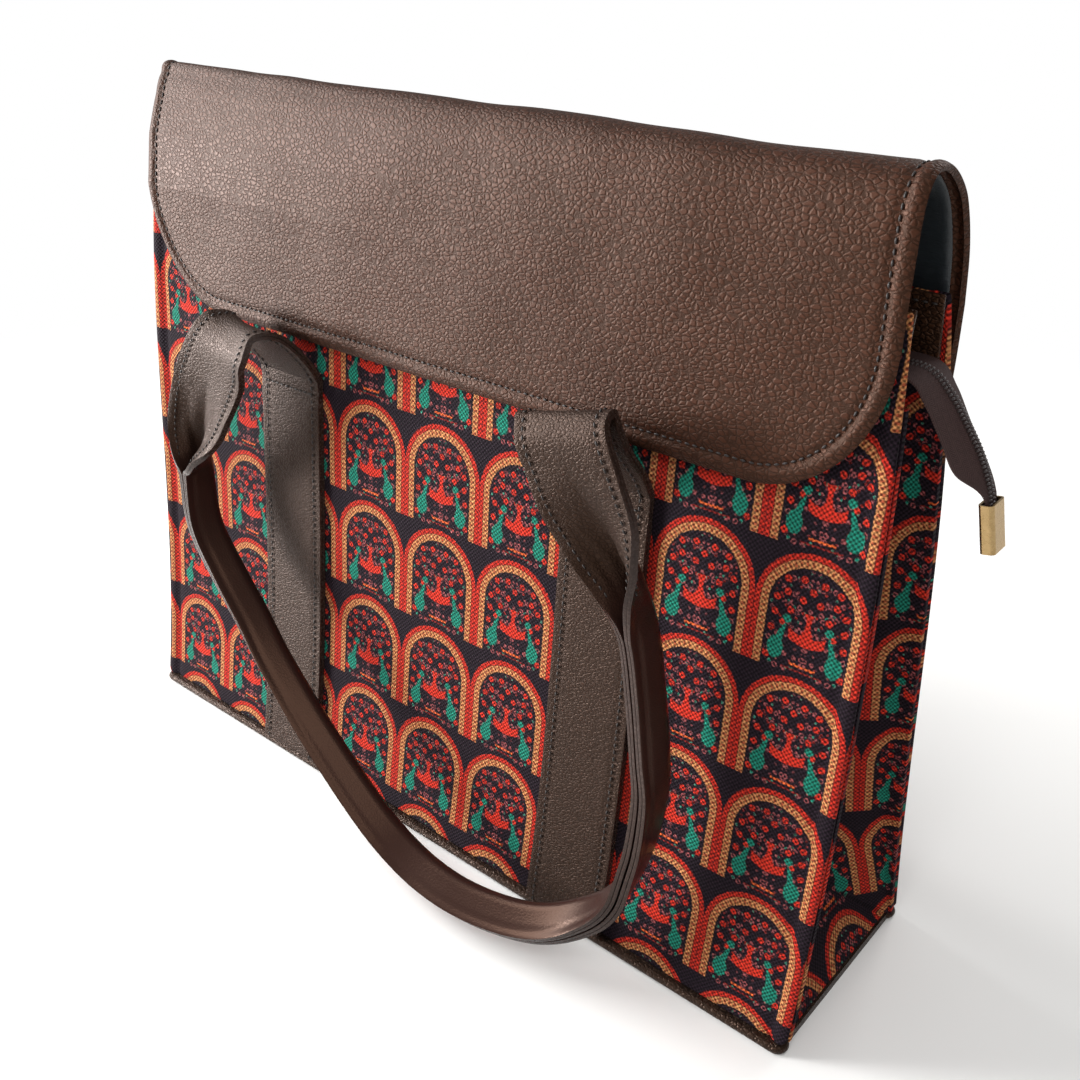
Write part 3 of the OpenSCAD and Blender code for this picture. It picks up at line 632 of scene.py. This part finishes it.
def makeSides():
    spans = [side["flange"], side["wing"], side["facet"], side["wing"], side["flange"]]
    stops = np.concatenate([[0], np.cumsum(spans)]) / sum(spans)
    for name, node, turn in (("rightSideCloth", "right_side", 1), ("leftSideCloth", "left_side", -1)):
        def place(a, b):
            z = mix(bag["foot"] + side["ease"], side["top"], b)
            line = np.array(sideLine(z))
            x = float(np.interp(a, stops, line[:, 0]))
            y = float(np.interp(a, stops, line[:, 1]))
            return turn * x, turn * y, z

        def chart(a, b):  # lengths along the strip from its middle, so that the print isn't stretched
            z = mix(bag["foot"] + side["ease"], side["top"], b)
            runs = lengthsAlong(np.array(sideLine(z)))
            return float(np.interp(a, stops, runs - runs[-1] / 2)), slopeRun(z)

        piece = gridPiece(name, sum(spans), side["rows"], place, chart)
        bm = bmesh.new()
        bm.from_mesh(piece.data)
        inner = [v for v in bm.verts if not v.is_boundary]
        for _ in range(side["softenings"]):
            bmesh.ops.smooth_vert(bm, verts=inner, factor=0.5, use_axis_x=True, use_axis_y=True,
                                  use_axis_z=False)
        bm.to_mesh(piece.data)
        bm.free()
        thicken(piece, bag["cloth"] - 0.2, 0, 0.8)
        dress(piece, "sidePrint", "printed_cloth", "bag", node)
    print("sides made")


# Facings: leather strips inside the mouth, with a stitch line under their top edge
facing = {"foot": 266, "thick": 1.6, "ease": 1, "stitchDrop": 3.2, "stitchHalf": 198,
          "columns": 60, "rows": 14}


def makeFacings():
    lines = []
    for name, node, turn in (("frontFacing", "front_facing", 1), ("backFacing", "back_facing", -1)):
        def inner(x, z):
            return turn * x, turn * (facing["thick"] - halfDepth(z) + bag["cloth"] + bag["gap"]), z

        def place(a, b):
            return inner((0.5 - a) * (bag["width"] - facing["ease"]), mix(facing["foot"], bag["height"], b))

        def chart(a, b):
            return a * bag["width"], b * (bag["height"] - facing["foot"])

        piece = gridPiece(name, facing["columns"], facing["rows"], place, chart)
        thicken(piece, facing["thick"], -1, 0.6)
        dress(piece, "facing", "facing_leather", "bag", node)
        places = np.linspace(-facing["stitchHalf"], facing["stitchHalf"], 100)
        row = [inner(x, bag["height"] - facing["stitchDrop"]) for x in places]
        lines.append((row, [(1, 0, 0)] * len(row), [(0, turn, 0)] * len(row)))
    sewStitches("facingStitches", lines, finishes["thread"], "bag")
    print("facings made")


# Flap: one leather sheet, sewn to the back, over the mouth and down the front to rounded corners
mouthY = bag["depths"][3] / 2
leatherThick, satinThick = 2.2, 0.8
lap = 3 * bag["gap"] + leatherThick + satinThick
flap = {
    "width": 392, "shift": 6, "cornerW": 50, "cornerH": 56, "hem": 7.0, "hemStart": 6,
    "columns": 150, "crownRows": 90, "frontRows": 76,
    "free": 40, "lift": 1.2,  # run over which it comes off the back, and how far
    "groove": (0.7, 1.6), "rim": (0.9, 1.2), "swell": (0.5, 3.5, 2.2),  # depths and widths near the edge
    "ripples": ((3, 60, 1.12), (9, 25, 0.35)),  # slice of the noise, size, height
    "back": [(halfDepth(250) + bag["gap"] + leatherThick, 250), (mouthY + 9, 270), (mouthY + 8.5, 290)],
    "over": [(mouthY + 8.5, 290), (mouthY + 4, 309.2), (mouthY - 5, 326), (mouthY - 17, 336),
             (-mouthY + 2, 338), (-mouthY - 4.5, 334), (-mouthY - 7.5, 325), (-mouthY - 8.5, 307.9),
             (-halfDepth(285) - lap - 4, 285), (-halfDepth(255.4) - lap - 2.5, 255.4),
             (-halfDepth(229) - lap - 1.5, 229)],
    "steps": 12, "crownStations": 7,
    "leftLean": (0, 0, 0, 1, 4, 8.5, 7, 1.5, -2.5, -1, 0),
    "hingeStart": (0, 22.5, 284), "hingeEnd": (0, 14.4, 288),
}
backPart = smoothCurve(flap["back"], 10)
overPart = smoothCurve(flap["over"], flap["steps"])
flapLine = np.vstack([backPart, overPart[1:]])
flapRuns = lengthsAlong(flapLine)
hingeRun = flapRuns[len(backPart) - 1]
crownEnd = flapRuns[len(backPart) - 1 + flap["steps"] * flap["crownStations"]]
flapEnd = flapRuns[-1]


def flapFrame(run):
    spot = [float(np.interp(run, flapRuns, flapLine[:, k])) for k in (0, 1)]
    ahead = [float(np.interp(min(run + 2, flapEnd), flapRuns, flapLine[:, k])) for k in (0, 1)]
    behind = [float(np.interp(max(run - 2, 0), flapRuns, flapLine[:, k])) for k in (0, 1)]
    way = Vector((0, ahead[0] - behind[0], ahead[1] - behind[1])).normalized()
    return Vector((0, *spot)), way, Vector((0, way.z, -way.y))


def cornerCut(x, inset=0.0):
    over = max(abs(x - flap["shift"]) - flap["width"] / 2 + flap["cornerW"], 0) / (flap["cornerW"] - inset)
    return flap["cornerH"] - (flap["cornerH"] - inset) * math.sqrt(max(1 - over * over, 0))


# How far a place on the flat cut lies from its edge
def edgeDistance(x, run):
    fromMiddle = abs(x - flap["shift"])
    toSide, toEnd = flap["width"] / 2 - fromMiddle, flapEnd - run
    intoX, intoRun = flap["cornerW"] - toSide, flap["cornerH"] - toEnd
    if intoX <= 0 or intoRun <= 0:
        return min(toSide, toEnd)
    shareX, shareRun = intoX / flap["cornerW"], intoRun / flap["cornerH"]
    slope = math.hypot(shareX / flap["cornerW"], shareRun / flap["cornerH"])
    return min(toSide, toEnd, (1 - shareX ** 2 - shareRun ** 2) / (2 * slope))


# The flap leans back at its left end, and less so to the right
leanRuns = flapRuns[len(backPart) - 1::flap["steps"]]


def lean(x, run):
    share = (flap["shift"] + flap["width"] / 2 - x) / flap["width"]
    return float(np.interp(run, leanRuns, flap["leftLean"])) * share ** 2


def flapRow(x, b, start, inset):
    end = flapEnd - inset - cornerCut(x)
    turnAt = flap["crownRows"] / (flap["crownRows"] + flap["frontRows"])
    if b < turnAt:
        return mix(start, crownEnd, b / turnAt)
    return mix(crownEnd, end, (b - turnAt) / (1 - turnAt))


def flapSurface(x, run, depth):
    spot, way, out = flapFrame(run)
    free = min(max((run - hingeRun) / flap["free"], 0), 1)
    edge = max(edgeDistance(x, run), 0)
    grooveDeep, grooveWide = flap["groove"]
    groove = grooveDeep * math.exp(-((edge - flap["hem"]) / grooveWide) ** 2)
    rimDeep, rimWide = flap["rim"]
    swellHigh, swellAt, swellWide = flap["swell"]
    rounded = rimDeep * math.exp(-edge / rimWide)
    swell = swellHigh * math.exp(-((edge - swellAt) / swellWide) ** 2)
    ripple = sum(wobble(x, level, run, size, height) for level, size, height in flap["ripples"])
    off = free * (flap["lift"] + ripple) - groove - rounded + swell - depth
    return spot + out * off + Vector((x, lean(x, run), 0))


def makeFlap():
    def across(a):
        return flap["shift"] + flap["width"] / 2 * closer(a)

    def place(a, b):
        x = across(a)
        return flapSurface(x, flapRow(x, b, 0, 0), 0)

    def chart(a, b):
        x = across(a)
        return x, flapRow(x, b, 0, 0)

    piece = gridPiece("flapLeather", flap["columns"], flap["crownRows"] + flap["frontRows"], place, chart)
    thicken(piece, leatherThick, 1, 0.8)
    dress(piece, "flap", "flap_leather", None, "flap", "flap_back")
    lining = {"inset": 5, "start": 18, "depth": leatherThick + 0.6, "slack": (18, 0.5),
              "columns": 70, "rows": 90}

    def liningAcross(a):
        return flap["shift"] + (flap["width"] / 2 - lining["inset"]) * closer(a)

    def liningPlace(a, b):
        x = liningAcross(a)
        run = flapRow(x, b, lining["start"], lining["inset"])
        slack = min(wobble(x, 5, run, *lining["slack"]), 0)
        return flapSurface(x, run, lining["depth"]) + flapFrame(run)[2] * slack

    def liningChart(a, b):
        x = liningAcross(a)
        return x, flapRow(x, b, lining["start"], lining["inset"])

    under = gridPiece("flapSatin", lining["columns"], lining["rows"], liningPlace, liningChart)
    thicken(under, satinThick, 1, 0.3)
    dress(under, "satin", "satin", None, "flap_lining")
    # Stitches down the left side, round the front and up the right side, laid on the leather
    inside = flap["width"] / 2 - flap["hem"]
    middle = flap["shift"]
    sideRuns = np.linspace(flap["hemStart"], flapEnd - flap["cornerH"], 60)
    front = middle + inside * np.sin(np.linspace(-math.pi / 2, math.pi / 2, 200))
    hem = [(middle - inside, run) for run in sideRuns]
    hem += [(x, flapEnd - cornerCut(x, flap["hem"])) for x in front]
    hem += [(middle + inside, run) for run in sideRuns[::-1]]
    mesh = piece.data
    outside = BVHTree.FromPolygons([v.co for v in mesh.vertices], [f.vertices for f in mesh.polygons])
    spots = [outside.find_nearest(flapSurface(x, run, 0) * mm)[0] / mm for x, run in hem]
    ways = [spots[min(i + 1, len(spots) - 1)] - spots[max(i - 1, 0)] for i in range(len(spots))]
    outs = [flapFrame(run)[2] for x, run in hem]
    stitches = sewStitches("flapStitches", [(spots, ways, outs)], finishes["thread"], None)
    for sewn in (piece, under, stitches):
        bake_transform(sewn)
    print("flap made")


# Handles: two plies of leather, sewn up the panel, looped forward and folded lengthwise into a grip.
# Stations are (strap, right of it, off the panel, height), the way the fold opens, fold angle, grip share
handle = {"pitch": 188, "width": 41, "thick": 3.4, "ply": 1.5, "sewn": 206, "gripWidth": 33, "gripGap": 0.8,
          "sewnStations": 6, "footEase": 0.4, "smoothFrom": 45,  # fold at which the grain begins to go
          "columns": 26, "steps": 9, "plyOff": 0.9, "edgeStitch": 4.2, "rowGap": 2.0, "stitchFold": 70,
          "dent": 0.35, "dentWidth": 1.5, "rowWidth": 2.5, "crease": 2.0, "creaseSize": 4.5}
leftLoop = [
    ((-1, 0, 2.6, 5), (0, 1, 0.1), 0, 0),
    ((-1, 0, 8, 13), (0, 0.9, 0.4), 0, 0),
    ((-1, -2, 18, 25), (0, 0.7, 0.7), 0, 0),
    ((-1, -5, 26, 30), (0, 0, 1), 0, 0),
    ((-1, -9, 32, 25), (0, -0.8, 0.6), 0, 0),
    ((-1, -15, 33, 15), (0, -1, 0.1), 0, 0),
    ((-1, -26, 30, -3), (0, -1, 0), 10, 0),
    ((-1, -36, 25, -22), (0, -1, 0), 30, 0.2),
    ((-1, -43, 21, -38), (-0.1, -1, 0), 62, 0.6),
    ((-1, -46, 18, -52), (-0.1, -1, -0.1), 90, 1)]
grip = [
    ((-1, -38, 20, 130), (-0.1, -0.9, -0.2)),
    ((-1, -20, 21, 111), (-0.1, -0.9, -0.3)),
    ((-1, 2, 23, 94), (0, -0.9, -0.4)),
    ((-1, 23, 25, 77), (0, -0.9, -0.5)),
    ((0, -30, 27, 49), (0, -0.8, -0.6)),
    ((0, 15, 28, 25), (0, -0.8, -0.6)),
    ((0, 54, 29, 19), (0, -0.8, -0.6)),
    ((1, -3, 25, 23), (0, -0.8, -0.6)),
    ((1, 21, 18, 34), (0, -0.9, -0.5)),
    ((1, 36, 14, 49), (0, -0.9, -0.4)),
    ((1, 43, 12, 70), (0, -1, -0.3)),
    ((1, 46, 11, 96), (-0.1, -1, -0.1)),
    ((1, 44, 11, 116), (-0.2, -1, -0.1)),
    ((1, 39, 11, 140), (-0.2, -1, 0))]
rightLoop = [
    ((1, 34, 13, -40), (-0.2, -1, 0), 90, 1),
    ((1, 27, 17, -20), (-0.1, -1, 0), 64, 0.6),
    ((1, 19, 24, -3), (0, -1, 0), 30, 0.2),
    ((1, 10, 32, 14), (0, -1, 0.1), 8, 0),
    ((1, 4, 35, 26), (-0.05, -1, 0.2), 0, 0),
    ((1, 0, 34.5, 34), (-0.15, -0.8, 0.6), 0, 0),
    ((1, -2, 30.5, 38.5), (-0.24, 0, 1), 0, 0),
    ((1, -2, 25, 34), (-0.12, 0.8, 0.6), 0, 0),
    ((1, -1, 18, 25), (0, 0.9, 0.3), 0, 0),
    ((1, 0, 8, 13), (0, 0.9, 0.4), 0, 0),
    ((1, 0, 2.6, 5), (0, 1, 0.1), 0, 0)]


def strapStations():
    def stand(at, z):
        return [at[0] * handle["pitch"] / 2 + at[1], -halfDepth(z) - at[2], z]

    def sewnRun(strap, heights):
        off = bag["gap"] + handle["thick"] / 2
        return [stand((strap, 0, off), z) + [0, 1, 0, 0, handle["width"] / 2] for z in heights]

    def loopRun(stations):
        rows = []
        for at, way, fold, share in stations:
            half = mix(handle["width"], handle["gripWidth"], share) / 2
            rows.append(stand(at, handle["sewn"] + at[3]) + [*way, fold, half])
        return rows

    gripRun = [stand(at, at[3]) + [*way, 90, handle["gripWidth"] / 2] for at, way in grip]
    heights = list(np.linspace(bag["foot"] + handle["footEase"], handle["sewn"], handle["sewnStations"]))
    return (sewnRun(-1, heights) + loopRun(leftLoop) + gripRun + loopRun(rightLoop)
            + sewnRun(1, heights[::-1]))


strapRows = smoothCurve(strapStations(), handle["steps"])
strapRuns = lengthsAlong(strapRows[:, :3])
bendRadius = (handle["thick"] + handle["gripGap"]) / 2


# A point of the strap: across from -1 to 1, at a distance off its middle towards the fold's opening
def strapSpot(index, across, off):
    row = strapRows[index]
    fold = min(max(row[6], 0), 90)
    behind, ahead = strapRows[max(index - 1, 0)], strapRows[min(index + 1, len(strapRows) - 1)]
    way = Vector(ahead[:3] - behind[:3]).normalized()
    sideways = Vector(row[3:6]).cross(way).normalized()
    opening = way.cross(sideways)
    reach = abs(across) * row[7]
    bent = min(reach, bendRadius * math.radians(fold))
    turn = bent / bendRadius
    rest = reach - bent
    x = bendRadius * math.sin(turn) + rest * math.cos(turn) - off * math.sin(turn)
    y = bendRadius * (1 - math.cos(turn)) + rest * math.sin(turn) + off * math.cos(turn)
    return Vector(row[:3]) + sideways * math.copysign(x, across) + opening * y, way, opening, sideways


def makeHandles():
    last = len(strapRows) - 1
    edge = 1 - 2 * handle["edgeStitch"] / handle["width"]
    sewnEnd = (handle["sewnStations"] - 1) * handle["steps"] - 1  # row at which the strap leaves the panel
    for name, node, turn in (("frontHandle", "front_handle", 1), ("backHandle", "back_handle", -1)):
        flip = Matrix.Rotation(0 if turn > 0 else math.pi, 3, "Z")
        for ply, off in (("Inner", handle["plyOff"]), ("Outer", -handle["plyOff"])):
            def place(a, b):  # pressed in along the stitches, creased where the strap folds
                index = round(b * last)
                fromEdge = (abs(2 * a - 1) - edge) * handle["width"] / 2
                fromRow = min(abs(index - sewnEnd), abs(index - last + sewnEnd)) * handle["rowGap"]
                dent = handle["dent"] * max(math.exp(-(fromEdge / handle["dentWidth"]) ** 2),
                                            math.exp(-(fromRow / handle["rowWidth"]) ** 2))
                folding = math.sin(math.pi * min(max(strapRows[index][6], 0), 90) / 90) ** 2
                crease = folding * wobble(a * handle["width"], 7, strapRuns[index] / 4, handle["creaseSize"],
                                          handle["crease"])
                return flip @ strapSpot(index, 2 * a - 1, off - math.copysign(dent, off) + crease)[0]

            def chart(a, b):
                return (a - 0.5) * handle["width"], float(strapRuns[round(b * last)])

            def gripShare(a, b):
                fold = strapRows[round(b * last)][6]
                return min(max((fold - handle["smoothFrom"]) / (90 - handle["smoothFrom"]), 0), 1)

            piece = gridPiece(name + ply, handle["columns"], last, place, chart, gripShare)
            piece.data.materials.append(finishes["strap"])
            piece.data.materials.append(finishes["edge"])
            thicken(piece, handle["ply"], 0, 0.45, 1)
            dress(piece, "strap", "strap_leather", "bag", *([node] if ply == "Outer" else []))
        lines = []
        for off in (-handle["thick"] / 2, handle["thick"] / 2):
            for across in (-edge, edge):
                run = []
                for index in range(last + 1):
                    flat = strapRows[index][6] < handle["stitchFold"]
                    if flat:
                        run.append(index)
                    if run and (not flat or index == last):
                        spots = [strapSpot(i, across, off) for i in run]
                        lines.append(([flip @ s[0] for s in spots], [flip @ s[1] for s in spots],
                                      [flip @ (s[2] * math.copysign(1, off)) for s in spots]))
                        run = []
        for index in (sewnEnd, last - sewnEnd):  # a row across the strap
            off = min((-handle["thick"] / 2, handle["thick"] / 2), key=lambda o: strapSpot(index, 0, o)[0].y)
            spots = [strapSpot(index, across, off) for across in np.linspace(-edge, edge, 20)]
            lines.append(([flip @ s[0] for s in spots], [flip @ s[3] for s in spots],
                          [flip @ (s[2] * math.copysign(1, off)) for s in spots]))
        sewStitches(name + "Stitches", lines, finishes["thread"], "bag")
    print("handles made")


# Zip: two tapes, each with a row of coil turns, apart in the mouth and closed in the tail
zipper = {"drop": 23, "start": 8, "tapeThick": 0.9, "slit": 5, "closed": 0.1, "tapeColumns": 8,
          "coilW": 2.2, "coilH": 1.6, "pitch": 1.4, "turn": 0.8, "coilEnds": (1, 2),
          "tailWidth": 12, "sliderX": 165, "sliderL": 16, "clipHalf": 4.3,
          "tail": ((0, 1, 5), (9, -5, 15), (17, -15, 22), (23.5, -25, 22), (28, -36, 0), (31.5, -53, 0))}


def zipRows():
    z = bag["height"] - zipper["drop"]
    outer = halfDepth(z) - bag["cloth"] - 2 * bag["gap"] - facing["thick"]
    ends = (zipper["start"] - bag["width"] / 2, zipper["sliderX"] + zipper["sliderL"])
    mouth = [(x, z, zipper["slit"] / 2, outer, 0) for x in np.linspace(*ends, 60)]
    tail = []
    for dx, dz, hang in zipper["tail"]:
        width = zipper["tailWidth"] if hang else zipper["clipHalf"]
        turn = math.radians(hang)
        tail.append((bag["width"] / 2 + dx, z + dz, zipper["closed"], width * math.cos(turn),
                     width * math.sin(turn)))
    return np.vstack([mouth[:-1], smoothCurve([mouth[-1]] + tail, 10)])


def makeZip():
    rows = zipRows()
    rows[:, 2] = np.maximum(rows[:, 2], zipper["closed"])
    runs = lengthsAlong(rows[:, :2])
    last = len(rows) - 1

    def zipSpot(index, y, lift):
        ahead, behind = rows[min(index + 1, last)], rows[max(index - 1, 0)]
        way = Vector((ahead[0] - behind[0], 0, ahead[1] - behind[1])).normalized()
        return Vector((rows[index][0], y, rows[index][1])) + Vector((-way.z, 0, way.x)) * lift, way

    for name, end, turn in (("frontZip", "front", -1), ("backZip", "back", 1)):
        def place(a, b):
            index = round(b * last)
            share = 1 - a if turn < 0 else a
            droop = max(rows[index][4], 0) * share
            y = mix(rows[index][2], rows[index][3], share)
            spot = zipSpot(index, y, zipper["tapeThick"] / 2 - droop)[0]
            return spot.x, turn * spot.y, spot.z

        def chart(a, b):
            return a * zipper["tailWidth"], float(runs[round(b * last)])

        piece = gridPiece(name + "Tape", zipper["tapeColumns"], last, place, chart)
        thicken(piece, zipper["tapeThick"], -1, 0.25)
        dress(piece, "tape", "zip_tape", "bag", end + "_zip_tape")
        matrices = []
        turnLong = zipper["pitch"] * zipper["turn"]
        size = Matrix.Diagonal((turnLong * mm, zipper["coilW"] * mm, zipper["coilH"] * mm, 1))
        for run in np.arange(zipper["coilEnds"][0], runs[-1] - zipper["coilEnds"][1], zipper["pitch"]):
            index = int(np.searchsorted(runs, run))
            share = (run - runs[index - 1]) / (runs[index] - runs[index - 1])
            lift = zipper["tapeThick"] / 2 + zipper["coilH"] / 2
            spots = [zipSpot(i, rows[i][2] + zipper["coilW"] / 2, lift) for i in (index - 1, index)]
            spot = spots[0][0].lerp(spots[1][0], share)
            way = spots[1][1]
            turned = Matrix((way, Vector((0, 1, 0)), Vector((-way.z, 0, way.x)))).transposed().to_4x4()
            spot.y *= turn
            matrices.append(Matrix.Translation(spot * mm) @ turned @ size)
        coil = beads(name + "Coil", matrices)
        dress(coil, "coil", "zip_coil", "bag", end + "_zip_coil")
    dressSolids("brass", "zip_slider", "zip_pull", "zip_end_clip")
    print("zip made")


makePanels()
makeSides()
makeFacings()
makeFlap()
makeHandles()
makeZip()
dressSolids("base", "base")
print("base dressed")
